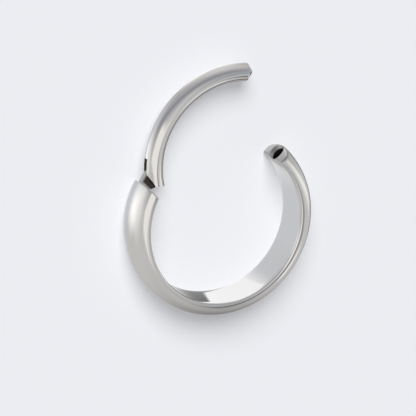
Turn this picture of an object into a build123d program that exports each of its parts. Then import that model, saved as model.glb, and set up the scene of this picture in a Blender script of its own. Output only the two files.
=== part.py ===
from build123d import *

import os
from math import asin, cos, degrees, radians, tan

# A hinged huggie hoop earring, lying on its side. Millimetres and degrees.
# The origin is the hoop's centre, on the side that it lies on, and +Z is the hoop's axis.
# Ring angles run from +X towards +Y. The gate is laid out in the place that it takes when shut,
# in a ring frame of its own, and that frame stands swung open about the hinge.

# Hoop and wire
inner_diameter = 12.0
band_thickness = 1.25
band_width = 3.25
wire_diameter = 1.37
seat_end_angle = 44.5
hinge_end_angle = 150.7
seam_tilt = 18.0

# Band section: heights as shares of the band's thickness
dome_drop_share = 0.32
side_wall_share_at_ends = 0.52
side_wall_share_at_bottom = 0.2
inner_edge_share = 0.16
end_edge_radius = 0.12

# Hinge
hinge_angle = 142.56
open_angle = 39.1
knuckle_radius = 0.26
knuckle_set_in = 0.01
pin_diameter = 0.28
pin_running_clearance = 0.02
pin_snug_clearance = 0.01
tongue_thickness = 0.4
tongue_inset = 0.25
tongue_root = 2.0
slot_clearance = 0.04
slot_reach = 1.18

# Gate ends
seam_gap = 0.04
base_end_height = 0.87
relief_angle = 142.0
tip_shoulder = 0.06
tip_rounding_share = 0.9
tip_half_angle = 49.0
tip_nose_radius = 0.1

# Seat for the tip
seat_clearance = 0.08
seat_recess = 0.05
bore_share = 0.7
bore_depth = 0.6
drill_half_angle = 59.0

# Columns: share of the way from the band's bottom to its end, share of the side wall's growth
side_wall_growth = [
    (0.0, 0.0),
    (0.35, 0.06),
    (0.55, 0.4),
    (0.75, 0.85),
    (1.0, 1.0),
]

# Derived sizes
inner_radius = inner_diameter / 2
outer_radius = inner_radius + band_thickness
wire_radius = wire_diameter / 2
wire_line_radius = outer_radius - wire_radius
middle_height = band_width / 2
inner_edge_radius = inner_edge_share * band_thickness
dome_drop = dome_drop_share * band_thickness
dome_radius = (middle_height**2 + dome_drop**2) / (2 * dome_drop)
dome_centre = outer_radius - dome_radius
seam_lean = degrees(wire_diameter * tan(radians(seam_tilt)) / inner_radius)
band_start = hinge_end_angle - seam_lean
band_arc = 360 - band_start + seat_end_angle
crown_radius = outer_radius - knuckle_set_in
pivot_radius = crown_radius - knuckle_radius
pin_radius = pin_diameter / 2
slot_width = tongue_thickness + 2 * slot_clearance
slot_end_angle = hinge_angle - degrees(slot_reach / outer_radius)
tip_angle = seat_end_angle - degrees(asin(seat_recess / wire_line_radius))
tip_base_radius = wire_radius - tip_shoulder
tip_slope = tan(radians(tip_half_angle))
tip_length = (tip_base_radius - tip_nose_radius) / tip_slope
seat_radius = tip_base_radius + seat_clearance
bore_radius = bore_share * seat_radius
countersink_depth = (seat_radius - bore_radius) / tip_slope
bore_end = countersink_depth + bore_depth
drill_point = bore_end + bore_radius / tan(radians(drill_half_angle))

# The hoop's frame, and the same frame swung about the hinge to where the gate stands open
pivot = Vector(pivot_radius, 0, 0).rotate(Axis.Z, hinge_angle)
hoop_frame = Plane.XY
gate_frame = Plane(
    origin=pivot - pivot.rotate(Axis.Z, open_angle),
    x_dir=Vector(1, 0, 0).rotate(Axis.Z, open_angle),
    z_dir=(0, 0, 1),
)
gate_axis = Axis(gate_frame.origin, gate_frame.z_dir)


def ring_point(angle, radius):
    """A point in a ring's own plane, by its ring angle and radius."""
    return Vector(radius, 0, 0).rotate(Axis.Z, angle)


def mid_plane(frame, height=0.0):
    """A plane that lies with the ring, at a height above its mid-width."""
    return frame.offset(middle_height + height)


def section_plane(frame, angle, radius=0.0):
    """A plane across the ring: local x runs outward, and local y up from mid-width."""
    lying = mid_plane(frame)
    origin = lying.from_local_coords(ring_point(angle, radius))
    outward = lying.from_local_coords(ring_point(angle, radius + 1)) - origin
    return Plane(origin=origin, x_dir=outward, z_dir=outward.cross(lying.z_dir))


def line_plane(frame, start, direction):
    """The mid-width plane with its origin at a ring point, and local x along a ring direction."""
    lying = mid_plane(frame)
    origin = lying.from_local_coords(start)
    return Plane(
        origin=origin,
        x_dir=lying.from_local_coords(start + direction) - origin,
        z_dir=lying.z_dir,
    )


def axis_along(plane):
    """The axis through a plane's origin, along its local x."""
    return Axis(plane.origin, plane.x_dir)


def band_section(plane, side_wall):
    """The band's section: flat sides of this height, round shoulders and a domed crown."""
    rise = inner_radius + side_wall - dome_centre
    shoulder_radius = (dome_radius**2 - rise**2 - middle_height**2) / (2 * (dome_radius - middle_height))
    upper_shoulder = (outer_radius - dome_drop, middle_height)
    lower_shoulder = (outer_radius - dome_drop, -middle_height)
    upper_inside = (inner_radius, middle_height)
    lower_inside = (inner_radius, -middle_height)
    with BuildSketch(plane) as section:
        with BuildLine():
            Polyline(upper_shoulder, upper_inside, lower_inside, lower_shoulder)
            ThreePointArc(lower_shoulder, (outer_radius, 0), upper_shoulder)
        make_face()
        fillet(section.vertices().group_by(Axis.X)[0], inner_edge_radius)
        fillet(section.vertices().group_by(Axis.X)[-1], shoulder_radius)
    return section.sketch


# The hinge-side seam, the gate's relief line and the tip's axis, as ring points and directions
seam_point = ring_point(hinge_end_angle, wire_line_radius)
seam_outward = ring_point(hinge_end_angle - seam_tilt, 1)
relief_start = seam_point + seam_outward * (base_end_height - wire_radius / cos(radians(seam_tilt)))
relief_line = ring_point(relief_angle, outer_radius) - relief_start
tip_point = ring_point(tip_angle, wire_line_radius)
into_seat = ring_point(tip_angle - 90, 1)

# Hoop band: swept through sections whose side walls stand tall at the ends and low at the bottom
stations = [(-way, growth) for way, growth in reversed(side_wall_growth[1:])] + side_wall_growth
band_sections = []
for way, growth in stations:
    station_angle = band_start + band_arc * (1 + way) / 2
    share = side_wall_share_at_bottom + (side_wall_share_at_ends - side_wall_share_at_bottom) * growth
    band_sections.append(band_section(section_plane(hoop_frame, station_angle), share * band_thickness))

with BuildLine(mid_plane(hoop_frame)) as band_path:
    CenterArc((0, 0), wire_line_radius, band_start, band_arc)

with BuildPart() as hoop_band:
    sweep(band_sections, path=band_path.wires()[0], multisection=True)

    # The hinge end is cut along the tilted seam
    with BuildSketch(line_plane(hoop_frame, seam_point, seam_outward)):
        Rectangle(2 * wire_diameter, wire_diameter, align=(Align.CENTER, Align.MAX))
    extrude(amount=band_width, both=True, mode=Mode.SUBTRACT)

    # Both end faces get rounded edges all round
    end_planes = hoop_band.faces().filter_by(GeomType.PLANE).filter_by(Axis.Z, reverse=True)
    fillet(end_planes.edges(), end_edge_radius)

    # Seat for the gate's tip: a countersink that the tip's shoulder dips into, and a blind bore
    seat_plane = line_plane(hoop_frame, tip_point, into_seat)
    with BuildSketch(seat_plane):
        with BuildLine():
            Polyline(
                (-wire_radius, 0),
                (-wire_radius, seat_radius + wire_radius * tip_slope),
                (countersink_depth, bore_radius),
                (bore_end, bore_radius),
                (drill_point, 0),
                close=True,
            )
        make_face()
    revolve(axis=axis_along(seat_plane), mode=Mode.SUBTRACT)

    # Tongue: a plate at mid-width, from inside the band's end to the knuckle round the hinge
    with BuildSketch(mid_plane(hoop_frame)):
        with BuildLine():
            Line(
                ring_point(hinge_end_angle + tongue_root, inner_radius + tongue_inset),
                ring_point(hinge_end_angle + tongue_root, crown_radius),
            )
        with Locations(pivot):
            Circle(knuckle_radius)
        make_hull()
        with Locations(pivot):
            Circle(pin_radius + pin_running_clearance, mode=Mode.SUBTRACT)
    extrude(amount=tongue_thickness / 2, both=True)

# Gate wire: round wire from the tip's shoulder to the base, with a blunt cone at the tip
with BuildPart() as gate_wire:
    with BuildSketch(section_plane(gate_frame, tip_angle, wire_line_radius)):
        Circle(wire_radius)
    revolve(axis=gate_axis, revolution_arc=hinge_end_angle + seam_lean - tip_angle)
    tip_place = gate_frame.from_local_coords(tip_point)
    tip_edge = gate_wire.edges().filter_by(GeomType.CIRCLE).sort_by_distance(tip_place)[0]
    fillet(tip_edge, tip_rounding_share * tip_shoulder)

    cone_plane = line_plane(gate_frame, tip_point, into_seat)
    with BuildSketch(cone_plane):
        with BuildLine():
            Polyline((0, 0), (0, tip_base_radius), (tip_length, tip_nose_radius), (tip_length, 0), close=True)
        make_face()
    revolve(axis=axis_along(cone_plane))

    # The base is cut along the seam, a gap short of the band
    with BuildSketch(line_plane(gate_frame, seam_point, seam_outward)):
        with Locations((0, -seam_gap)):
            Rectangle(2 * wire_diameter, wire_diameter, align=(Align.CENTER, Align.MIN))
    extrude(amount=wire_diameter, both=True, mode=Mode.SUBTRACT)

    # Relief: the outer corner of the base, cut back so that it passes the band when it swings
    with BuildSketch(line_plane(gate_frame, relief_start, relief_line)):
        with Locations((relief_line.length / 2, 0)):
            Rectangle(relief_line.length + wire_diameter, wire_diameter, align=(Align.CENTER, Align.MIN))
    extrude(amount=wire_diameter, both=True, mode=Mode.SUBTRACT)

    # Slot: open at the base, so that two cheeks stand beside the tongue
    with BuildSketch(mid_plane(gate_frame)):
        Polygon(
            ring_point(slot_end_angle, inner_radius - wire_radius),
            ring_point(slot_end_angle, outer_radius + wire_radius),
            ring_point(hinge_end_angle + seam_lean, outer_radius + wire_radius),
            ring_point(hinge_end_angle + seam_lean, inner_radius - wire_radius),
            align=None,
        )
    extrude(amount=slot_width / 2, both=True, mode=Mode.SUBTRACT)

    # Hole for the pin, through both cheeks
    with BuildSketch(mid_plane(gate_frame)):
        with Locations(pivot):
            Circle(pin_radius + pin_snug_clearance)
    extrude(amount=wire_diameter, both=True, mode=Mode.SUBTRACT)


# Hinge pin: held by the two cheeks, with its ends cut flush with the wire's surface
with BuildPart() as hinge_pin:
    with BuildSketch(mid_plane(hoop_frame)):
        with Locations(pivot):
            Circle(pin_radius)
    extrude(amount=wire_diameter, both=True)
    with BuildSketch(section_plane(gate_frame, slot_end_angle, wire_line_radius)):
        Circle(wire_radius)
    revolve(axis=gate_axis, revolution_arc=hinge_end_angle - slot_end_angle, mode=Mode.INTERSECT)


os.makedirs("parts", exist_ok=True)
hoop_band.part.label = "hoop_band"
export_step(hoop_band.part, "parts/hoop_band.step")
gate_wire.part.label = "gate_wire"
export_step(gate_wire.part, "parts/gate_wire.step")
hinge_pin.part.label = "hinge_pin"
export_step(hinge_pin.part, "parts/hinge_pin.step")
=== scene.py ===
import math

import bmesh
import bpy
from mathutils import Matrix, Vector


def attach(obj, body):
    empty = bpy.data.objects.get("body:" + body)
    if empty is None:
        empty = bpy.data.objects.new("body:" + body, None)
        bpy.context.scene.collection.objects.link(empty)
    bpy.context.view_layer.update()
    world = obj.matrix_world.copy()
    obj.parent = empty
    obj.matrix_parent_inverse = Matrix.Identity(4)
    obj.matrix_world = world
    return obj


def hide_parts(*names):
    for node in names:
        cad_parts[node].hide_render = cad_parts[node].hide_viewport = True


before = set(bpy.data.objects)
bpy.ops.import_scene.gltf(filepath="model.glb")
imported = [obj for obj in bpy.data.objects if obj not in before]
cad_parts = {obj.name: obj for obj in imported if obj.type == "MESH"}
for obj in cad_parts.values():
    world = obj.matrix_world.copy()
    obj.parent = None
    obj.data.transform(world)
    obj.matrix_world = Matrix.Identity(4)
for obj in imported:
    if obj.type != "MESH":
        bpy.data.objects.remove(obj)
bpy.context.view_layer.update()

# A hinged huggie hoop in polished steel. The pieces are modelled in millimetres and brought to
# metres as each one is finished. Ring angles run from +X towards +Y, in degrees.
bpy.ops.object.select_all(action="DESELECT")
print("frame loaded")

millimetre = 0.001
sameSpot = 0.00001  # points closer than this are one point
sameFace = 0.001  # a face this close to a plane, in place and in lean, lies in it

# the hinge and the meeting ends, which the three pieces share
hinge = {
    "angle": 142.56,
    "radius": 6.98,  # how far the pin stands from the hoop's centre
    "openAngle": 39.1,
    "seamAngle": 150.7,  # where the band's cut end crosses the wire's line
    "seamTilt": 18.0,
    "tipAngle": 44.063,  # how far the shut wire reaches, without its tip
    "middleHeight": 1.625,
    "holeSpots": 48,
}
wire = {
    "radius": 0.6805,
    "lineRadius": 6.565,  # from the hoop's centre to the middle of the wire
}


def ringPoint(angle, radius, height=0.0):
    turn = math.radians(angle)
    return Vector((radius * math.cos(turn), radius * math.sin(turn), height))


def arcPoint(centre, radius, turn):
    return centre[0] + radius * math.cos(turn), centre[1] + radius * math.sin(turn)


def seamAngleAt(radius, distance):
    # where a circle of this radius crosses the line this far behind the seam, towards the band
    along = wire["lineRadius"] * math.sin(math.radians(hinge["seamTilt"])) + distance
    return hinge["seamAngle"] - hinge["seamTilt"] + math.degrees(math.asin(along / radius))


def besideSeam(angle):
    # how far the wire's line has moved away from the seam at this ring angle
    tilt = math.radians(hinge["seamTilt"])
    turn = math.radians(angle - hinge["seamAngle"] + hinge["seamTilt"])
    return wire["lineRadius"] * (math.sin(turn) - math.sin(tilt))


def between(ends, share):
    return ends[0] + (ends[1] - ends[0]) * share


def shares(steps):
    # equal steps from 0 up to just short of 1
    return [step / steps for step in range(steps)]


def smoothStep(share):
    share = min(max(share, 0.0), 1.0)
    return share * share * (3 - 2 * share)


def choose(piece):
    if bpy.context.object and bpy.context.object.mode != "OBJECT":
        bpy.ops.object.mode_set(mode="OBJECT")
    bpy.ops.object.select_all(action="DESELECT")
    piece.select_set(True)
    bpy.context.view_layer.objects.active = piece


# polished steel: a clean mirror, with a faint unevenness of the polish. The other places are
# rougher, as the tools cut them, and their colours are darkened as painted shade: drilled is the
# bore, painted near black, sunk its countersink, faced the band's end round it, partly duller and
# partly painted shade, and filed the tongue, the slot and the holes, painted near black, with a
# painted highlight on the tongue. Haze and waves are sized in spots to a metre.
steelFinishes = {
    "polishedSteel": {
        "colour": (0.8, 0.79, 0.77, 1.0),
        "roughness": 0.05,
        "roughnessSpread": 0.015,
        "hazeSize": 350.0,
        "waveSize": 900.0,
        "waveHeight": 0.0006,
    },
    "drilledSteelPaintedShade": {
        # near black: painted shade in the bore
        "colour": (0.13, 0.12, 0.115, 1.0),
        "roughness": 0.5,
        "roughnessSpread": 0.1,
        "hazeSize": 2500.0,
        "waveSize": 6000.0,
        "waveHeight": 0.01,
    },
    "sunkSteelPaintedShade": {
        # darker than the polish: painted shade in the countersink
        "colour": (0.4, 0.392, 0.38, 1.0),
        "roughness": 0.32,
        "roughnessSpread": 0.08,
        "hazeSize": 2500.0,
        "waveSize": 5000.0,
        "waveHeight": 0.005,
    },
    "facedSteelPaintedShade": {
        # darker than the polish: partly a duller faced finish, partly painted shade
        "colour": (0.53, 0.525, 0.515, 1.0),
        "roughness": 0.24,
        "roughnessSpread": 0.06,
        "hazeSize": 2000.0,
        "waveSize": 5000.0,
        "waveHeight": 0.003,
    },
    "filedSteelShadeAndHighlight": {
        # near black as painted shade on the tongue, the slot, the cut face and the holes
        "colour": (0.065, 0.057, 0.05, 1.0),
        # a painted highlight makes the tongue brighter along its outer edge, between these ring
        # radii, and at its root, between these distances from the band's end
        "paintedHighlightColour": (0.55, 0.54, 0.52, 1.0),
        "edgeFrom": 7.02,
        "edgeTo": 7.22,
        "rootFrom": -0.19,
        "rootTo": -0.07,
        "roughness": 0.36,
        "roughnessSpread": 0.12,
        "hazeSize": 2500.0,
        "waveSize": 5000.0,
        "waveHeight": 0.01,
    },
}
# the finishes' slots; the four after polished are darkened as painted shade
polished, drilledPaintedShade, sunkPaintedShade, facedPaintedShade, filedShadeAndHighlight = range(5)


def addNode(tree, kind, output, inputs, **settings):
    # one node with its settings, where each input is a value or the output of another node
    node = tree.nodes.new(kind)
    for name, setting in settings.items():
        setattr(node, name, setting)
    for socket, value in inputs.items():
        if isinstance(value, bpy.types.NodeSocket):
            tree.links.new(value, node.inputs[socket])
        else:
            node.inputs[socket].default_value = value
    return node.outputs[output]


def addMath(tree, operation, *values):
    return addNode(tree, "ShaderNodeMath", "Value", dict(enumerate(values)), operation=operation)


def addDot(tree, place, axis):
    # how far a place lies along an axis
    return addNode(
        tree, "ShaderNodeVectorMath", "Value", {0: place, 1: axis}, operation="DOT_PRODUCT"
    )


def addFade(tree, value, start, end):
    # rises smoothly from 0 at the start to 1 at the end
    return addNode(
        tree,
        "ShaderNodeMapRange",
        "Result",
        {"Value": value, "From Min": start, "From Max": end},
        interpolation_type="SMOOTHSTEP",
    )


def paintedShadeAndHighlight(tree, place, look):
    # painted shade, with a painted highlight along the tongue's outer edge and at its root
    flat = addNode(
        tree, "ShaderNodeVectorMath", "Vector", {0: place, 1: (1, 1, 0)}, operation="MULTIPLY"
    )
    out = addNode(tree, "ShaderNodeVectorMath", "Value", {0: flat}, operation="LENGTH")
    edge = addFade(tree, out, look["edgeFrom"] * millimetre, look["edgeTo"] * millimetre)
    intoBand = ringPoint(hinge["seamAngle"] - hinge["seamTilt"] + 90, 1.0)
    seam = wire["lineRadius"] * math.sin(math.radians(hinge["seamTilt"]))
    rootFrom, rootTo = (seam + look["rootFrom"]) * millimetre, (seam + look["rootTo"]) * millimetre
    root = addFade(tree, addDot(tree, place, intoBand), rootFrom, rootTo)
    tone = tree.nodes.new("ShaderNodeValToRGB")
    tone.color_ramp.elements[0].color = look["colour"]
    tone.color_ramp.elements[1].color = look["paintedHighlightColour"]
    tree.links.new(addMath(tree, "MAXIMUM", edge, root), tone.inputs["Fac"])
    return tone.outputs["Color"]


def makeFinish(name, look):
    steel = bpy.data.materials.new(name)
    steel.use_nodes = True
    tree = steel.node_tree
    shader = tree.nodes["Principled BSDF"]
    shader.inputs["Base Color"].default_value = look["colour"]
    shader.inputs["Metallic"].default_value = 1.0
    place = addNode(tree, "ShaderNodeTexCoord", "Object", {})
    # the haze changes the gloss from place to place, and the waves tilt the surface
    haze = addNode(
        tree,
        "ShaderNodeTexNoise",
        "Fac",
        {"Vector": place, "Scale": look["hazeSize"], "Detail": 3.0},
    )
    least = look["roughness"] - look["roughnessSpread"]
    most = look["roughness"] + look["roughnessSpread"]
    gloss = addNode(
        tree, "ShaderNodeMapRange", "Result", {"Value": haze, "To Min": least, "To Max": most}
    )
    tree.links.new(gloss, shader.inputs["Roughness"])
    waves = addNode(
        tree, "ShaderNodeTexNoise", "Fac", {"Vector": place, "Scale": look["waveSize"]}
    )
    height = look["waveHeight"] * millimetre
    bump = addNode(tree, "ShaderNodeBump", "Normal", {"Height": waves, "Distance": height})
    tree.links.new(bump, shader.inputs["Normal"])
    # the tongue's painted highlight over its painted shade
    if "paintedHighlightColour" in look:
        tree.links.new(paintedShadeAndHighlight(tree, place, look), shader.inputs["Base Color"])
    return steel


finishes = [makeFinish(name, look) for name, look in steelFinishes.items()]
print("steel done:", len(finishes), "finishes")


def addFinishes(piece, used=polished):
    # all the steel's finishes, and the one that every face has
    piece.data.materials.clear()
    for finish in finishes:
        piece.data.materials.append(finish)
    piece.data.polygons.foreach_set("material_index", [used] * len(piece.data.polygons))


def spinLoops(name, spots, loops, radius):
    # a small standing circle, spun into a row of loops, each point with its spot and loop marked
    step = 2 * math.pi / loops
    bpy.ops.object.select_all(action="DESELECT")
    bpy.ops.mesh.primitive_circle_add(
        vertices=spots, radius=radius / 10, location=(radius, 0, 0), rotation=(math.pi / 2, 0, 0)
    )
    piece = bpy.context.object
    piece.name = piece.data.name = name
    addFinishes(piece)
    bpy.ops.object.transform_apply(location=True, rotation=True, scale=True)
    marks = piece.data.attributes.new("spot", "INT", "POINT")
    marks.data.foreach_set("value", list(range(spots)))
    bpy.ops.object.mode_set(mode="EDIT")
    bpy.ops.mesh.select_all(action="SELECT")
    bpy.ops.mesh.spin(steps=loops - 1, angle=-step * (loops - 1), center=(0, 0, 0), axis=(0, 0, 1))
    bpy.ops.object.mode_set(mode="OBJECT")
    turns = [math.atan2(v.co.y, v.co.x) / step for v in piece.data.vertices]
    marks = piece.data.attributes.new("loop", "INT", "POINT")
    marks.data.foreach_set("value", [round(turn) % loops for turn in turns])
    return piece


def shapeLoops(piece, place):
    # every point is moved to the place that it has by its loop and its spot
    spots = [mark.value for mark in piece.data.attributes["spot"].data]
    loops = [mark.value for mark in piece.data.attributes["loop"].data]
    for vertex, spot, loop in zip(piece.data.vertices, spots, loops):
        vertex.co = place(loop, spot)
    piece.data.attributes.remove(piece.data.attributes["spot"])
    piece.data.attributes.remove(piece.data.attributes["loop"])


def capEnds(piece):
    # the row of loops is closed at both ends, and its faces point outwards
    choose(piece)
    bpy.ops.object.mode_set(mode="EDIT")
    bpy.ops.mesh.select_all(action="SELECT")
    bpy.ops.mesh.fill_holes(sides=0)
    bpy.ops.mesh.select_all(action="SELECT")
    bpy.ops.mesh.normals_make_consistent(inside=False)
    bpy.ops.object.mode_set(mode="OBJECT")


def cut(piece, tool, operation="DIFFERENCE"):
    choose(piece)
    boolean = piece.modifiers.new("cut", "BOOLEAN")
    boolean.operation = operation
    boolean.solver = "EXACT"
    boolean.object = tool
    bpy.ops.object.modifier_apply(modifier=boolean.name)
    bpy.data.objects.remove(tool)


def pinCylinder(name, radius, height, finish):
    # an upright cylinder on the hinge, for the pin and for the holes that it goes through
    bpy.ops.object.select_all(action="DESELECT")
    bpy.ops.mesh.primitive_cylinder_add(
        vertices=hinge["holeSpots"],
        radius=radius,
        depth=height,
        location=ringPoint(hinge["angle"], hinge["radius"], hinge["middleHeight"]),
    )
    cylinder = bpy.context.object
    cylinder.name = cylinder.data.name = name
    bpy.ops.object.transform_apply(location=True, rotation=True, scale=True)
    addFinishes(cylinder, finish)
    return cylinder


def finishPiece(piece, smoothAngle, body, node):
    # to metres, smooth shading with the flats kept flat, the CAD part hidden, and the piece hung on
    # its body
    choose(piece)
    bpy.ops.transform.resize(value=[millimetre] * 3, center_override=(0, 0, 0))
    bpy.ops.object.transform_apply(location=True, rotation=True, scale=True)
    bpy.ops.object.shade_smooth_by_angle(angle=math.radians(smoothAngle))
    weighted = piece.modifiers.new("flats", "WEIGHTED_NORMAL")
    weighted.keep_sharp = True
    weighted.weight = 80  # the large faces count for more than at 50, the even share
    bpy.ops.object.modifier_apply(modifier=weighted.name)
    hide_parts(node)
    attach(piece, body)
    print(piece.name, "done:", len(piece.data.polygons), "faces")


# the hoop's band: a domed strip with flat sides, taller-sided at its ends than at the bottom
band = {
    "innerRadius": 6.0,
    "outerRadius": 7.2475,
    "innerEdge": 0.2,
    "crownRadius": 3.5006,
    "creaseAtEnds": 55.0,  # how steep the dome is where it meets the side wall
    "creaseAtBottom": 80.0,
    "creaseRounding": 0.03,
    "wallTurnInward": 8.0,  # the side wall isn't quite flat, and turns this far to either side
    "wallTurnOutward": 18.0,
    "sideAtEnds": 0.65,
    "sideAtBottom": 0.25,
    # how far the sides have grown by then, on the way from the bottom to an end
    "growth": [(0.0, 0.0), (0.35, 0.06), (0.55, 0.4), (0.75, 0.85), (1.0, 1.0)],
    "growthEasing": 0.5,  # share of the last slope that is left at the end
    "bottomAngle": 275.4755,
    "halfArc": 129.0245,
    "seatAngle": 404.5,
    "endRounding": 0.12,
    "seatRounding": 0.18,
    "facedFrom": 0.3,  # the rounding is faced as far as it looks this much along the ring
    "shearedArc": 14.0,  # how far from its ends the loops still lean with them
    # loops along the band, and points round it
    "loops": 290,
    "roundingLoops": 6,
    "innerFaceSteps": 8,
    "innerEdgeSteps": 6,
    "sideSteps": 6,
    "creaseSteps": 3,
    "shoulderSteps": 12,
    "crownSteps": 28,
    # the seat for the gate's tip, with depths from the wire's end
    "seatRadius": 0.672,
    "countersinkDepth": 0.162,
    "boreRadius": 0.487,
    "boreEnd": 0.7839,
    "drillPoint": 1.0804,
    "rimRounding": 0.02,  # where the countersink meets the bore
    "rimIntoBore": 0.006,
    "seatSpots": 96,
    # the tongue that carries the hinge
    "tongueHalfThickness": 0.2,
    "tongueInset": 0.55,
    "tongueRoot": 2.0,
    "tongueOuter": 7.24,
    "tongueHole": 0.16,
    "holeToolHeight": 2.0,
    "heelAngle": 147.8,  # the tongue's inner corner, which fills the gate's slot when it's shut
    "heelRadius": 5.98,
    "knuckleRadius": 0.26,
    "knuckleSpots": 96,
    "straightAngle": 0.5,  # edges that turn less than this, in degrees, become one
    "smoothAngle": 35,
}


def sideGrowth(angle):
    # smooth curve through the growth table, level at the bottom
    way = min(abs(angle - band["bottomAngle"]) / band["halfArc"], 1.0)
    table = band["growth"]
    slopes = [0.0]
    for (x0, y0), (x1, y1) in zip(table, table[2:]):
        slopes.append((y1 - y0) / (x1 - x0))
    (x0, y0), (x1, y1) = table[-2:]
    slopes.append((y1 - y0) / (x1 - x0) * band["growthEasing"])
    row = max(row for row in range(len(table) - 1) if table[row][0] <= way)
    (x0, y0), (x1, y1) = table[row : row + 2]
    run = x1 - x0
    t = (way - x0) / run
    return (
        y0 * (1 + 2 * t) * (1 - t) ** 2
        + slopes[row] * run * t * (1 - t) ** 2
        + y1 * t * t * (3 - 2 * t)
        + slopes[row + 1] * run * t * t * (t - 1)
    )


def seatAngleAt(radius, distance):
    # where a circle of this radius crosses the line this far inside the band's seat end
    return band["seatAngle"] - math.degrees(math.asin(distance / radius))


def besideSeat(angle):
    # how far the wire's line has moved away from the seat's end at this ring angle
    return wire["lineRadius"] * math.sin(math.radians(band["seatAngle"] - angle))


def shoulderArc(side, steep):
    # the arc that starts this steeply from the side wall's end and runs smoothly into the crown
    crown, half = band["crownRadius"], hinge["middleHeight"]
    crownCentre = band["outerRadius"] - crown
    rise = band["innerRadius"] + side - crownCentre
    radius = (crown**2 - rise**2 - half**2) / (
        2 * (crown - rise * math.cos(steep) - half * math.sin(steep))
    )
    lean = math.atan2(half - radius * math.sin(steep), rise - radius * math.cos(steep))
    return arcPoint((crownCentre, 0.0), crown - radius, lean), radius, lean


def upperSide(growth, inset):
    # points from the inner face's upper end over the side wall and the shoulder, up to the crown,
    # and how far round the crown that is
    half, edge = hinge["middleHeight"], band["innerEdge"]
    side = between((band["sideAtBottom"], band["sideAtEnds"]), growth)
    steep = math.radians(between((band["creaseAtBottom"], band["creaseAtEnds"]), growth))
    centre, shoulder, lean = shoulderArc(side, steep)
    # the side wall swells a little, and meets the shoulder's arc at the crease
    inward, outward = math.radians(band["wallTurnInward"]), math.radians(band["wallTurnOutward"])
    edgeCentre = band["innerRadius"] + edge, half - edge
    wallStart = arcPoint(edgeCentre, edge - inset, math.pi / 2 + inward)
    wall, arc = half - inset, shoulder - inset
    tilt, bend = math.tan(inward), math.tan(inward) + math.tan(outward)
    peak = tilt**2 / (2 * bend)
    height = wall
    for settle in range(4):  # the crease and the wall's end come closer with each round
        steep = math.asin((height - centre[1]) / arc)
        crease = Vector(arcPoint(centre, arc, steep))
        wide = crease.x - wallStart[0]
        height = wall + wide * (tilt - bend / 2 - peak)
    start = steep - band["creaseRounding"] / arc
    before = crease - band["creaseRounding"] * Vector((math.cos(outward), -math.sin(outward)))
    after = Vector(arcPoint(centre, arc, start))
    points = []
    for share in shares(band["innerEdgeSteps"]):
        turn = between((math.pi, math.pi / 2 + inward), share)
        points.append(arcPoint(edgeCentre, edge - inset, turn))
    for share in shares(band["sideSteps"]):
        share = share * (before.x - wallStart[0]) / wide
        height = wall + wide * (tilt * share - bend * share**2 / 2 - peak)
        points.append((wallStart[0] + wide * share, height))
    for share in shares(band["creaseSteps"]):
        corner = before * (1 - share) ** 2 + crease * (2 * share * (1 - share)) + after * share**2
        points.append((corner.x, corner.y))
    for share in shares(band["shoulderSteps"]):
        points.append(arcPoint(centre, arc, between((start, lean), share)))
    return points, lean


def bandSection(growth, inset):
    # one section, as (ring radius, height from mid-width): from the inner face's upper end out over
    # the dome, back along the lower side and up the inner face
    upper, lean = upperSide(growth, inset)
    crown = band["crownRadius"]
    dome = []
    for step in range(band["crownSteps"] + 1):
        turn = lean * (1 - 2 * step / band["crownSteps"])
        dome.append(arcPoint((band["outerRadius"] - crown, 0.0), crown - inset, turn))
    lower = [(x, -y) for x, y in reversed(upper)]
    flat = hinge["middleHeight"] - band["innerEdge"]
    face = []
    for share in shares(band["innerFaceSteps"])[1:]:
        face.append((band["innerRadius"] + inset, flat * (2 * share - 1)))
    return upper + dome + lower + face


def bandPlace(loop, spot):
    # where a point of the band stands: the end loops round its ends off, the others run along it
    rounding, last, line = band["roundingLoops"], band["loops"] - 1, wire["lineRadius"]
    seamEnd = seamAngleAt(line, band["endRounding"])
    seatEnd = seatAngleAt(line, band["seatRounding"])
    share = (loop - rounding) / (last - 2 * rounding)
    middle = between((seamEnd, seatEnd), min(max(share, 0.0), 1.0))
    # the loops lean with the end that they are nearer to
    if loop < last / 2:
        radius, cutAngleAt, beside = band["endRounding"], seamAngleAt, besideSeam(middle)
        fromEnd, way = loop, middle - seamEnd
    else:
        radius, cutAngleAt, beside = band["seatRounding"], seatAngleAt, besideSeat(middle)
        fromEnd, way = last - loop, seatEnd - middle
    rounded = fromEnd < rounding
    turn = (1 - min(fromEnd / rounding, 1.0)) * math.pi / 2
    inset, distance = radius * (1 - math.cos(turn)), radius * (1 - math.sin(turn))
    lean = 1 - smoothStep(way / band["shearedArc"])
    angle = middle
    for settle in range(3):  # the section changes with the angle, and the angle with the section
        across, height = bandSection(sideGrowth(angle), inset)[spot]
        if rounded:
            angle = cutAngleAt(across, distance)
        elif lean:
            angle = middle + lean * (cutAngleAt(across, beside) - middle)
    return ringPoint(angle, across, hinge["middleHeight"] + height)


def latheTool(name, profile, spots, start, direction):
    # a turned tool: its profile, as (distance along, radius), goes round a line through the start
    piece = spinLoops(name, len(profile), spots, 1.0)
    side = Vector((0, 0, 1))
    third = direction.cross(side)

    def place(loop, spot):
        along, radius = profile[spot]
        turn = 2 * math.pi * loop / spots
        return start + along * direction + radius * (math.cos(turn) * side + math.sin(turn) * third)

    shapeLoops(piece, place)
    choose(piece)
    # the last loop is joined to the first one, and the points on the line become one at each end
    bpy.ops.object.mode_set(mode="EDIT")
    bpy.ops.mesh.select_mode(type="EDGE")
    mesh = bmesh.from_edit_mesh(piece.data)
    for edge in mesh.edges:
        edge.select = edge.is_boundary
    bmesh.update_edit_mesh(piece.data)
    bpy.ops.mesh.bridge_edge_loops()
    bpy.ops.mesh.select_all(action="SELECT")
    bpy.ops.mesh.remove_doubles(threshold=sameSpot)
    bpy.ops.mesh.dissolve_degenerate(threshold=sameSpot)
    bpy.ops.mesh.normals_make_consistent(inside=False)
    bpy.ops.object.mode_set(mode="OBJECT")
    return piece


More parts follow.
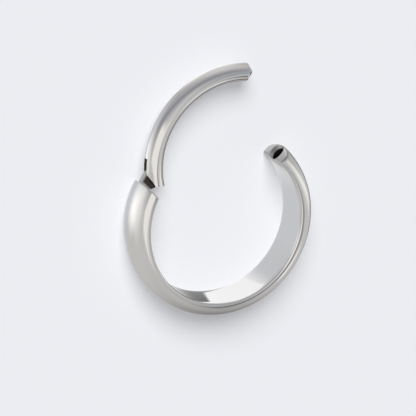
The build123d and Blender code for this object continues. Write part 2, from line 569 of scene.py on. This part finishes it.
def seatTool():
    # the countersink that the gate's shoulder dips into, and the blind bore with its drill point
    start = ringPoint(hinge["tipAngle"], wire["lineRadius"], hinge["middleHeight"])
    direction = ringPoint(hinge["tipAngle"] - 90, 1.0)
    depth, bore, rim = band["countersinkDepth"], band["boreRadius"], band["rimRounding"]
    slope = (band["seatRadius"] - bore) / depth
    out = wire["radius"]  # the tool starts this far outside
    profile = [
        (-out, 0.0),
        (-out, band["seatRadius"] + out * slope),
        (depth - rim, bore + rim * slope),
        (depth + band["rimIntoBore"], bore),
        (band["boreEnd"], bore),
        (band["drillPoint"], 0.0),
    ]
    tool = latheTool("seatTool", profile, band["seatSpots"], start, direction)
    # the bore is painted near black and the countersink darker, as painted shade
    addFinishes(tool, drilledPaintedShade)
    for face in tool.data.polygons:
        if (face.center - start).dot(direction) < depth - band["rimIntoBore"]:
            face.material_index = sunkPaintedShade
    return tool


def tonguePlate():
    # a circle for the knuckle, three points at the band's end, and the sheet stretched round them
    low = hinge["middleHeight"] - band["tongueHalfThickness"]
    bpy.ops.object.select_all(action="DESELECT")
    bpy.ops.mesh.primitive_circle_add(
        vertices=band["knuckleSpots"],
        radius=band["knuckleRadius"],
        location=ringPoint(hinge["angle"], hinge["radius"], low),
    )
    plate = bpy.context.object
    plate.name = plate.data.name = "tonguePlate"
    bpy.ops.object.transform_apply(location=True, rotation=True, scale=True)
    bpy.ops.object.mode_set(mode="EDIT")
    mesh = bmesh.from_edit_mesh(plate.data)
    root = hinge["seamAngle"] + band["tongueRoot"]
    mesh.verts.new(ringPoint(root, band["innerRadius"] + band["tongueInset"], low))
    mesh.verts.new(ringPoint(root, band["tongueOuter"], low))
    mesh.verts.new(ringPoint(band["heelAngle"], band["heelRadius"], low))
    bmesh.update_edit_mesh(plate.data)
    bpy.ops.mesh.select_all(action="SELECT")
    bpy.ops.mesh.convex_hull(delete_unused=True, join_triangles=True)
    bpy.ops.mesh.select_all(action="SELECT")
    bpy.ops.mesh.dissolve_limited(angle_limit=math.radians(band["straightAngle"]))
    bpy.ops.mesh.select_all(action="SELECT")
    thickness = (0, 0, 2 * band["tongueHalfThickness"])
    bpy.ops.mesh.extrude_region_move(TRANSFORM_OT_translate={"value": thickness})
    bpy.ops.mesh.select_all(action="SELECT")
    bpy.ops.mesh.normals_make_consistent(inside=False)
    bpy.ops.object.mode_set(mode="OBJECT")
    # the tongue is painted dark as shade, with a painted highlight at its outer edge and root
    addFinishes(plate, filedShadeAndHighlight)
    cut(plate, pinCylinder("tongueHole", band["tongueHole"], band["holeToolHeight"], filedShadeAndHighlight))
    return plate


def faceSeat(piece):
    # the seat's end is faced off, its rounded rim too, and both are duller and darkened as painted
    # shade. Its plane runs through the hoop's axis.
    outward = ringPoint(band["seatAngle"] + 90, 1.0)
    for face in piece.data.polygons:
        nearSeat = face.center.x > 0 and face.center.dot(outward) > -band["seatRounding"]
        if nearSeat and face.normal.dot(outward) > band["facedFrom"]:
            face.material_index = facedPaintedShade


def makeBand():
    spots = len(bandSection(1.0, 0.0))
    piece = spinLoops("polishedBand", spots, band["loops"], wire["lineRadius"])
    shapeLoops(piece, bandPlace)
    capEnds(piece)
    faceSeat(piece)
    cut(piece, seatTool())
    cut(piece, tonguePlate(), "UNION")
    return piece


polishedBand = makeBand()
finishPiece(polishedBand, band["smoothAngle"], "hoop", "hoop_band")

# the gate: a round wire, laid out shut and then swung open about the hinge
gate = {
    "seamGap": 0.04,  # left between the shut gate and the band's cut end
    "baseEndHeight": 0.87,  # what the cut-back corner leaves of the wire at its end
    "reliefAngle": 142.0,  # where that cut comes out on the wire's outer side
    "trimSnap": 0.0001,  # points this near to the cut are moved onto it
    "slotHalfWidth": 0.24,
    "slotEndAngle": 133.233,
    "slotToolSize": 4.0,
    "holeRadius": 0.15,
    "holeToolHeight": 3.0,
    "shoulderRadius": 0.625,  # where the tip's cone starts
    "shoulderRounding": 0.054,
    "coneLength": 0.4564,
    "noseRadius": 0.1,
    "noseRounding": 0.05,
    "shearedArc": 9.0,  # how far from the seam the loops still lean with it
    # loops along the wire, and points round it
    "loops": 150,
    "slotLoopShare": 0.3,  # of the loops before the tip, those as far as the slot's end
    "shoulderSteps": 5,
    "coneSteps": 10,
    "noseSteps": 4,
    "sideSpots": 24,  # points above the slot, and again below it
    "slotSpots": 8,  # points across the slot, inside and again outside
    "smoothAngle": 35,
}


def wireSpot(spot):
    # angles round the wire, with points where the slot's walls meet its surface
    corner = math.asin(gate["slotHalfWidth"] / wire["radius"])
    slot, sides = gate["slotSpots"], gate["sideSpots"]
    if spot < slot:
        return -corner + 2 * corner * spot / slot
    if spot < slot + sides:
        return corner + (math.pi - 2 * corner) * (spot - slot) / sides
    if spot < 2 * slot + sides:
        return math.pi - corner + 2 * corner * (spot - slot - sides) / slot
    return math.pi + corner + (math.pi - 2 * corner) * (spot - 2 * slot - sides) / sides


def tipProfile():
    # (distance past the wire's end, radius), from the wire's full size to the nose
    rounding, nose = gate["shoulderRounding"], gate["noseRounding"]
    length, widest, narrowest = gate["coneLength"], gate["shoulderRadius"], gate["noseRadius"]
    shoulder = -rounding, wire["radius"] - rounding
    points = []
    for step in range(gate["shoulderSteps"] + 1):
        turn = math.pi / 2 - step / gate["shoulderSteps"] * math.pi / 2
        points.append(arcPoint(shoulder, rounding, turn))
    for share in shares(gate["coneSteps"]):
        points.append((length * share, between((widest, narrowest), share)))
    # the nose is rounded off between the cone and the flat
    slope = math.atan2(length, widest - narrowest)
    back = nose * math.tan(slope / 2)
    points.append((length - back * math.sin(slope), narrowest + back * math.cos(slope)))
    for step in range(1, gate["noseSteps"] + 1):
        turn = slope * (1 - step / gate["noseSteps"])
        points.append(arcPoint((length - nose, narrowest - back), nose, turn))
    return points


def wirePlace(loop, spot):
    # where a point of the wire stands: the last loops make its tip, the others run along the ring
    turn, tip = wireSpot(spot), tipProfile()
    line, body = wire["lineRadius"], gate["loops"] - len(tip)
    if loop >= body:
        along, radius = tip[loop - body]
        across = line + radius * math.cos(turn)
        height = hinge["middleHeight"] + radius * math.sin(turn)
        if along < 0:
            return ringPoint(hinge["tipAngle"] + math.degrees(-along / line), across, height)
        forward = ringPoint(hinge["tipAngle"] - 90, 1.0)
        return ringPoint(hinge["tipAngle"], across, height) + along * forward
    start = seamAngleAt(line, -gate["seamGap"])
    end = hinge["tipAngle"] + math.degrees(gate["shoulderRounding"] / line)
    slotLoops = round(body * gate["slotLoopShare"])
    if loop <= slotLoops:
        middle = between((start, gate["slotEndAngle"]), loop / slotLoops)
    else:
        middle = between((gate["slotEndAngle"], end), (loop - slotLoops) / (body - slotLoops))
    across = line + wire["radius"] * math.cos(turn)
    height = hinge["middleHeight"] + wire["radius"] * math.sin(turn)
    lean = 1 - smoothStep((start - middle) / gate["shearedArc"])
    angle = middle
    if lean:
        angle += lean * (seamAngleAt(across, besideSeam(middle)) - middle)
    return ringPoint(angle, across, height)


def slotTool():
    # a block from the slot's end outwards past the gate's base
    bpy.ops.object.select_all(action="DESELECT")
    bpy.ops.mesh.primitive_cube_add(size=1.0, location=(0, 0, 0))
    tool = bpy.context.object
    tool.name = tool.data.name = "slotTool"
    across = ringPoint(gate["slotEndAngle"], 1.0)
    along = ringPoint(gate["slotEndAngle"] + 90, 1.0)
    size = gate["slotToolSize"]
    end = ringPoint(gate["slotEndAngle"], wire["lineRadius"], hinge["middleHeight"])
    turn = Matrix((across, along, Vector((0, 0, 1)))).transposed().to_4x4()
    sizes = Matrix.Diagonal((size, size, 2 * gate["slotHalfWidth"], 1))
    tool.matrix_world = Matrix.Translation(end + along * size / 2) @ turn @ sizes
    bpy.ops.object.transform_apply(location=True, rotation=True, scale=True)
    # the slot's walls are painted dark as shade
    addFinishes(tool, filedShadeAndHighlight)
    return tool


def trimRelief(piece):
    # the outer corner of the base is cut back along a slanting plane
    outward = ringPoint(hinge["seamAngle"] - hinge["seamTilt"], 1.0)
    halfEnd = wire["radius"] / math.cos(math.radians(hinge["seamTilt"]))  # of the slanting end
    seam = ringPoint(hinge["seamAngle"], wire["lineRadius"])
    start = seam + outward * (gate["baseEndHeight"] - halfEnd)
    line = ringPoint(gate["reliefAngle"], wire["lineRadius"] + wire["radius"]) - start
    away = Vector((line.y, -line.x, 0)).normalized()
    if away.dot(start) < 0:
        away = -away
    choose(piece)
    bpy.ops.object.mode_set(mode="EDIT")
    bpy.ops.mesh.select_all(action="SELECT")
    bpy.ops.mesh.bisect(
        plane_co=start, plane_no=away, use_fill=True, clear_outer=True, threshold=gate["trimSnap"]
    )
    bpy.ops.object.mode_set(mode="OBJECT")
    # the cut face is painted dark as shade
    for face in piece.data.polygons:
        if face.normal.dot(away) > 1 - sameFace and abs((face.center - start).dot(away)) < sameFace:
            face.material_index = filedShadeAndHighlight


def swingOpen(piece):
    # from shut to the pose of the photo
    choose(piece)
    pivot = ringPoint(hinge["angle"], hinge["radius"])
    turn = Matrix.Rotation(math.radians(hinge["openAngle"]), 4, "Z")
    piece.matrix_world = Matrix.Translation(pivot) @ turn @ Matrix.Translation(-pivot)
    bpy.ops.object.transform_apply(location=True, rotation=True, scale=True)


def makeGate():
    spots = 2 * (gate["slotSpots"] + gate["sideSpots"])
    piece = spinLoops("polishedGate", spots, gate["loops"], wire["lineRadius"])
    shapeLoops(piece, wirePlace)
    capEnds(piece)
    trimRelief(piece)
    cut(piece, slotTool())
    # the pin's hole is painted dark as shade
    cut(piece, pinCylinder("gateHole", gate["holeRadius"], gate["holeToolHeight"], filedShadeAndHighlight))
    swingOpen(piece)
    return piece


polishedGate = makeGate()
finishPiece(polishedGate, gate["smoothAngle"], "gate", "gate_wire")

# the pin, whose ends follow the wire's round surface
pin = {
    "radius": 0.14,
    "startHeight": 1.0,
    "endRings": 4,
    "ringWidth": 0.03,
    "smoothAngle": 30,
}


def makePin():
    piece = pinCylinder("polishedPin", pin["radius"], pin["startHeight"], polished)
    choose(piece)
    bpy.ops.object.mode_set(mode="EDIT")
    bpy.ops.mesh.select_mode(type="FACE")
    for ring in range(pin["endRings"]):
        mesh = bmesh.from_edit_mesh(piece.data)
        for face in mesh.faces:
            face.select = len(face.verts) > 4  # the two ends
        bmesh.update_edit_mesh(piece.data)
        bpy.ops.mesh.inset(thickness=pin["ringWidth"], use_boundary=True)
    bpy.ops.object.mode_set(mode="OBJECT")
    middle = hinge["middleHeight"]
    for vertex in piece.data.vertices:
        off = Vector((vertex.co.x, vertex.co.y)).length - wire["lineRadius"]
        rise = math.sqrt(wire["radius"] ** 2 - off**2)
        vertex.co.z = middle + math.copysign(rise, vertex.co.z - middle)
    swingOpen(piece)
    return piece


polishedPin = makePin()
finishPiece(polishedPin, pin["smoothAngle"], "gate", "hinge_pin")

# where the photographer stands: the line of sight, and the picture's own right and up
camera = {
    "towards": (-0.3928, 0.3140, 0.8643),
    "right": (0.9104, 0.0, 0.4137),
    "distance": 0.18,
    "nearest": 0.01,
    "farthest": 10.0,
    "lens": 212.2,
    "sensorWidth": 36.0,
    "shiftX": -0.0245,
    "shiftY": 0.0277,
}
towardsCamera = Vector(camera["towards"]).normalized()
cameraRight = Vector(camera["right"]).normalized()
cameraUp = towardsCamera.cross(cameraRight)
hoopMiddle = Vector((0, 0, hinge["middleHeight"] * millimetre))

# the studio: a pale floor, soft light, and the small tent of soft panels that the steel mirrors
studio = {
    "floorColour": (0.8, 0.81, 0.84, 1.0),
    "floorGlow": 0.34,
    "floorSize": 1.2,
    "backdrop": (0.82, 0.83, 0.86, 1.0),
    "fillOnFloor": 0.2,  # share of the backdrop's light that falls on the floor
    "keyFrom": (-0.24, 0.64, 0.73),
    "keyStrength": 2.3,
    "keyAngle": 36.0,
    "tentRadius": 0.0272,
    "tentSegments": 96,
    "tentColour": (0.63, 0.62, 0.62),
    "steepFrom": 0.75,  # a panel further up or down than this is squared to the line of sight
    "sideFade": 0.1,  # a panel shows on its own side of the tent, and fades out over this
    "widest": 89,  # a panel's edge is never further from its middle than this
    # the panels, in degrees, each laid over the ones before it: away from the line of sight, and
    # around that line from the picture's right, with 90 at its top. turn tilts a panel, wide and
    # tall are half of its size, and soft is the width of its fading edge. most of these numbers,
    # and tentColour, are the output of another program, which fitted the steel's reflections to
    # those in the photo. only limbDark, lowPost, lowDark and sideWindow are wholly set by hand.
    "panels": {
        "backWall": {
            "away": 102, "around": 101, "turn": -30, "wide": 75, "tall": 52, "soft": 11,
            "colour": (0.67, 0.69, 0.73),
        },
        "ceiling": {
            "away": 88, "around": 74, "turn": 2, "wide": 60, "tall": 33, "soft": 36,
            "colour": (0.47, 0.47, 0.48),
        },
        "rightWall": {
            "away": 94, "around": -14, "turn": -10, "wide": 19, "tall": 55, "soft": 40,
            "colour": (0.03, 0.03, 0.03),
        },
        "darkFloor": {
            "away": 120, "around": -79, "turn": -12, "wide": 32, "tall": 35, "soft": 60,
            "colour": (0.30, 0.30, 0.30),
        },
        "darkCorner": {
            "away": 103, "around": -11, "turn": -31, "wide": 33, "tall": 47, "soft": 42,
            "colour": (0.63, 0.63, 0.63),
        },
        "leftWindow": {
            "away": 91, "around": 173, "turn": -9, "wide": 17, "tall": 12, "soft": 25,
            "colour": (1.36, 1.35, 1.34),
        },
        "leftSill": {
            "away": 83, "around": -151, "turn": 12, "wide": 33, "tall": 12, "soft": 4,
            "colour": (0.63, 0.62, 0.61),
        },
        "topGlow": {
            "away": 134, "around": 101, "turn": -14, "wide": 14, "tall": 46, "soft": 21,
            "colour": (1.21, 1.20, 1.22),
        },
        "rightWindow": {
            "away": 90, "around": -5, "turn": 12, "wide": 30, "tall": 5, "soft": 13,
            "colour": (1.01, 1.02, 1.00),
        },
        "rightDark": {
            "away": 149, "around": -14, "turn": 0, "wide": 12, "tall": 16, "soft": 16,
            "colour": (0.46, 0.45, 0.46),
        },
        "darkPost": {
            "away": 47, "around": 52, "turn": 8, "wide": 16, "tall": 79, "soft": 33,
            "colour": (0.74, 0.73, 0.73),
        },
        "darkStand": {
            "away": 37, "around": 90, "turn": 5, "wide": 54, "tall": 19, "soft": 39,
            "colour": (0.32, 0.32, 0.36),
        },
        "standEdge": {
            "away": 50, "around": 91, "turn": 5, "wide": 49, "tall": 3, "soft": 6,
            "colour": (0.44, 0.45, 0.47),
        },
        "lowGlow": {
            "away": 49, "around": 11, "turn": 3, "wide": 9, "tall": 23, "soft": 32,
            "colour": (0.39, 0.42, 0.45),
        },
        "lowPanel": {
            "away": 16, "around": -80, "turn": -28, "wide": 34, "tall": 15, "soft": 8,
            "colour": (0.97, 0.94, 0.92),
        },
        "farWall": {
            "away": 156, "around": 34, "turn": -2, "wide": 23, "tall": 25, "soft": 10,
            "colour": (0.44, 0.45, 0.46),
        },
        "lowWall": {
            "away": 71, "around": 179, "turn": -63, "wide": 19, "tall": 12, "soft": 38,
            "colour": (0.92, 0.92, 0.90),
        },
        "limbDark": {
            "away": 158, "around": 20, "turn": 0, "wide": 18, "tall": 16, "soft": 13,
            "colour": (0.10, 0.09, 0.09),
        },
        "lowPost": {
            "away": 60, "around": -32, "turn": -18, "wide": 14, "tall": 5, "soft": 5,
            "colour": (0.30, 0.30, 0.33),
        },
        "lowDark": {
            "away": 73, "around": -46, "turn": -14, "wide": 5, "tall": 12, "soft": 6,
            "colour": (0.10, 0.10, 0.13),
        },
        "sideWindow": {
            "away": 97, "around": -33, "turn": 0, "wide": 8, "tall": 7, "soft": 6,
            "colour": (1.00, 1.00, 0.99),
        },
        "topWindow": {
            "away": 145, "around": 97, "turn": -48, "wide": 7, "tall": 23, "soft": 1.5,
            "colour": (1.08, 1.09, 1.12),
        },
    },
}


def layFloor():
    # matt and pale, glowing a little by itself, and kept out of the steel's reflections
    bpy.ops.object.select_all(action="DESELECT")
    bpy.ops.mesh.primitive_plane_add(size=studio["floorSize"], location=(0, 0, 0))
    floor = bpy.context.object
    floor.name = "floor"
    paint = bpy.data.materials.new("floorPaint")
    paint.use_nodes = True
    shader = paint.node_tree.nodes["Principled BSDF"]
    shader.inputs["Base Color"].default_value = studio["floorColour"]
    shader.inputs["Roughness"].default_value = 1.0
    shader.inputs["Specular IOR Level"].default_value = 0.0
    shader.inputs["Emission Color"].default_value = studio["floorColour"]
    shader.inputs["Emission Strength"].default_value = studio["floorGlow"]
    floor.data.materials.append(paint)
    floor.visible_glossy = False


def roomDirection(away, around):
    # from the hoop's middle into the room
    away, around = math.radians(away), math.radians(around)
    across = math.cos(around) * cameraRight + math.sin(around) * cameraUp
    return math.cos(away) * towardsCamera + math.sin(away) * across


def blendColours(tree, share, under, over):
    # the colour mixing node's own sockets, which share their names with its number and vector ones
    mix = tree.nodes.new("ShaderNodeMix")
    mix.data_type = "RGBA"
    sockets = {socket.identifier: socket for socket in (*mix.inputs, *mix.outputs)}
    tree.links.new(share, sockets["Factor_Float"])
    tree.links.new(under, sockets["A_Color"])
    sockets["B_Color"].default_value = over
    return sockets["Result_Color"]


def hangPanel(tree, ray, under, panel):
    # a soft-edged panel, laid over what the tent shows under it
    centre = roomDirection(panel["away"], panel["around"])
    steady = cameraUp if abs(centre.dot(cameraUp)) < studio["steepFrom"] else towardsCamera
    upward = (steady - steady.dot(centre) * centre).normalized()
    upward = Matrix.Rotation(math.radians(panel["turn"]), 3, centre) @ upward
    shown = addFade(tree, addDot(tree, ray, centre), 0.0, studio["sideFade"])
    for axis, half in ((upward.cross(centre), panel["wide"]), (upward, panel["tall"])):
        off = addMath(tree, "ABSOLUTE", addDot(tree, ray, axis))
        outer = math.radians(min(half + panel["soft"] / 2, studio["widest"]))
        inner = math.radians(max(half - panel["soft"] / 2, 0))
        inside = addFade(tree, off, math.sin(outer), math.sin(inner))
        shown = addMath(tree, "MULTIPLY", shown, inside)
    return blendColours(tree, shown, under, (*panel["colour"], 1.0))


def raiseTent():
    # a ball round the hoop that only the steel mirrors, painted with the panels by direction
    bpy.ops.object.select_all(action="DESELECT")
    bpy.ops.mesh.primitive_uv_sphere_add(
        segments=studio["tentSegments"],
        ring_count=studio["tentSegments"] // 2,
        radius=studio["tentRadius"],
        location=hoopMiddle,
    )
    tent = bpy.context.object
    tent.name = "tent"
    paint = bpy.data.materials.new("tentPaint")
    paint.use_nodes = True
    paint.cycles.emission_sampling = "NONE"
    tree = paint.node_tree
    tree.nodes.remove(tree.nodes["Principled BSDF"])
    place = addNode(tree, "ShaderNodeTexCoord", "Object", {})
    ray = addNode(tree, "ShaderNodeVectorMath", "Vector", {0: place}, operation="NORMALIZE")
    base = tree.nodes.new("ShaderNodeRGB")
    base.outputs["Color"].default_value = (*studio["tentColour"], 1.0)
    shown = base.outputs["Color"]
    for panel in studio["panels"].values():
        shown = hangPanel(tree, ray, shown, panel)
    glow = addNode(tree, "ShaderNodeEmission", "Emission", {"Color": shown})
    tree.links.new(glow, tree.nodes["Material Output"].inputs["Surface"])
    tent.data.materials.append(paint)
    tent.visible_camera = tent.visible_diffuse = tent.visible_shadow = False
    tent.visible_transmission = tent.visible_volume_scatter = False


def lightRoom():
    # a plain backdrop, which lights the floor less than it shows, and a soft sun for the shadow
    world = bpy.data.worlds.new("studioRoom")
    bpy.context.scene.world = world
    world.use_nodes = True
    tree = world.node_tree
    background = tree.nodes["Background"]
    background.inputs["Color"].default_value = studio["backdrop"]
    sight = addNode(tree, "ShaderNodeLightPath", "Is Diffuse Ray", {})
    levels = {"Value": sight, "To Min": 1.0, "To Max": studio["fillOnFloor"]}
    fill = addNode(tree, "ShaderNodeMapRange", "Result", levels)
    tree.links.new(fill, background.inputs["Strength"])
    data = bpy.data.lights.new("keyLight", "SUN")
    data.energy = studio["keyStrength"]
    data.angle = math.radians(studio["keyAngle"])
    key = bpy.data.objects.new("keyLight", data)
    bpy.context.scene.collection.objects.link(key)
    key.rotation_mode = "QUATERNION"
    key.rotation_quaternion = Vector(studio["keyFrom"]).to_track_quat("Z", "Y")
    key.visible_glossy = False


def placeCamera():
    data = bpy.data.cameras.new("studioCamera")
    data.lens, data.sensor_width = camera["lens"], camera["sensorWidth"]
    data.shift_x, data.shift_y = camera["shiftX"], camera["shiftY"]
    data.clip_start, data.clip_end = camera["nearest"], camera["farthest"]
    eye = bpy.data.objects.new("studioCamera", data)
    bpy.context.scene.collection.objects.link(eye)
    turn = Matrix((cameraRight, cameraUp, towardsCamera)).transposed().to_4x4()
    stand = hoopMiddle + towardsCamera * camera["distance"]
    eye.matrix_world = Matrix.Translation(stand) @ turn
    bpy.context.scene.camera = eye


layFloor()
raiseTent()
lightRoom()
placeCamera()
bpy.context.scene.view_settings.view_transform = "Standard"
print("studio done")

bpy.context.view_layer.update()
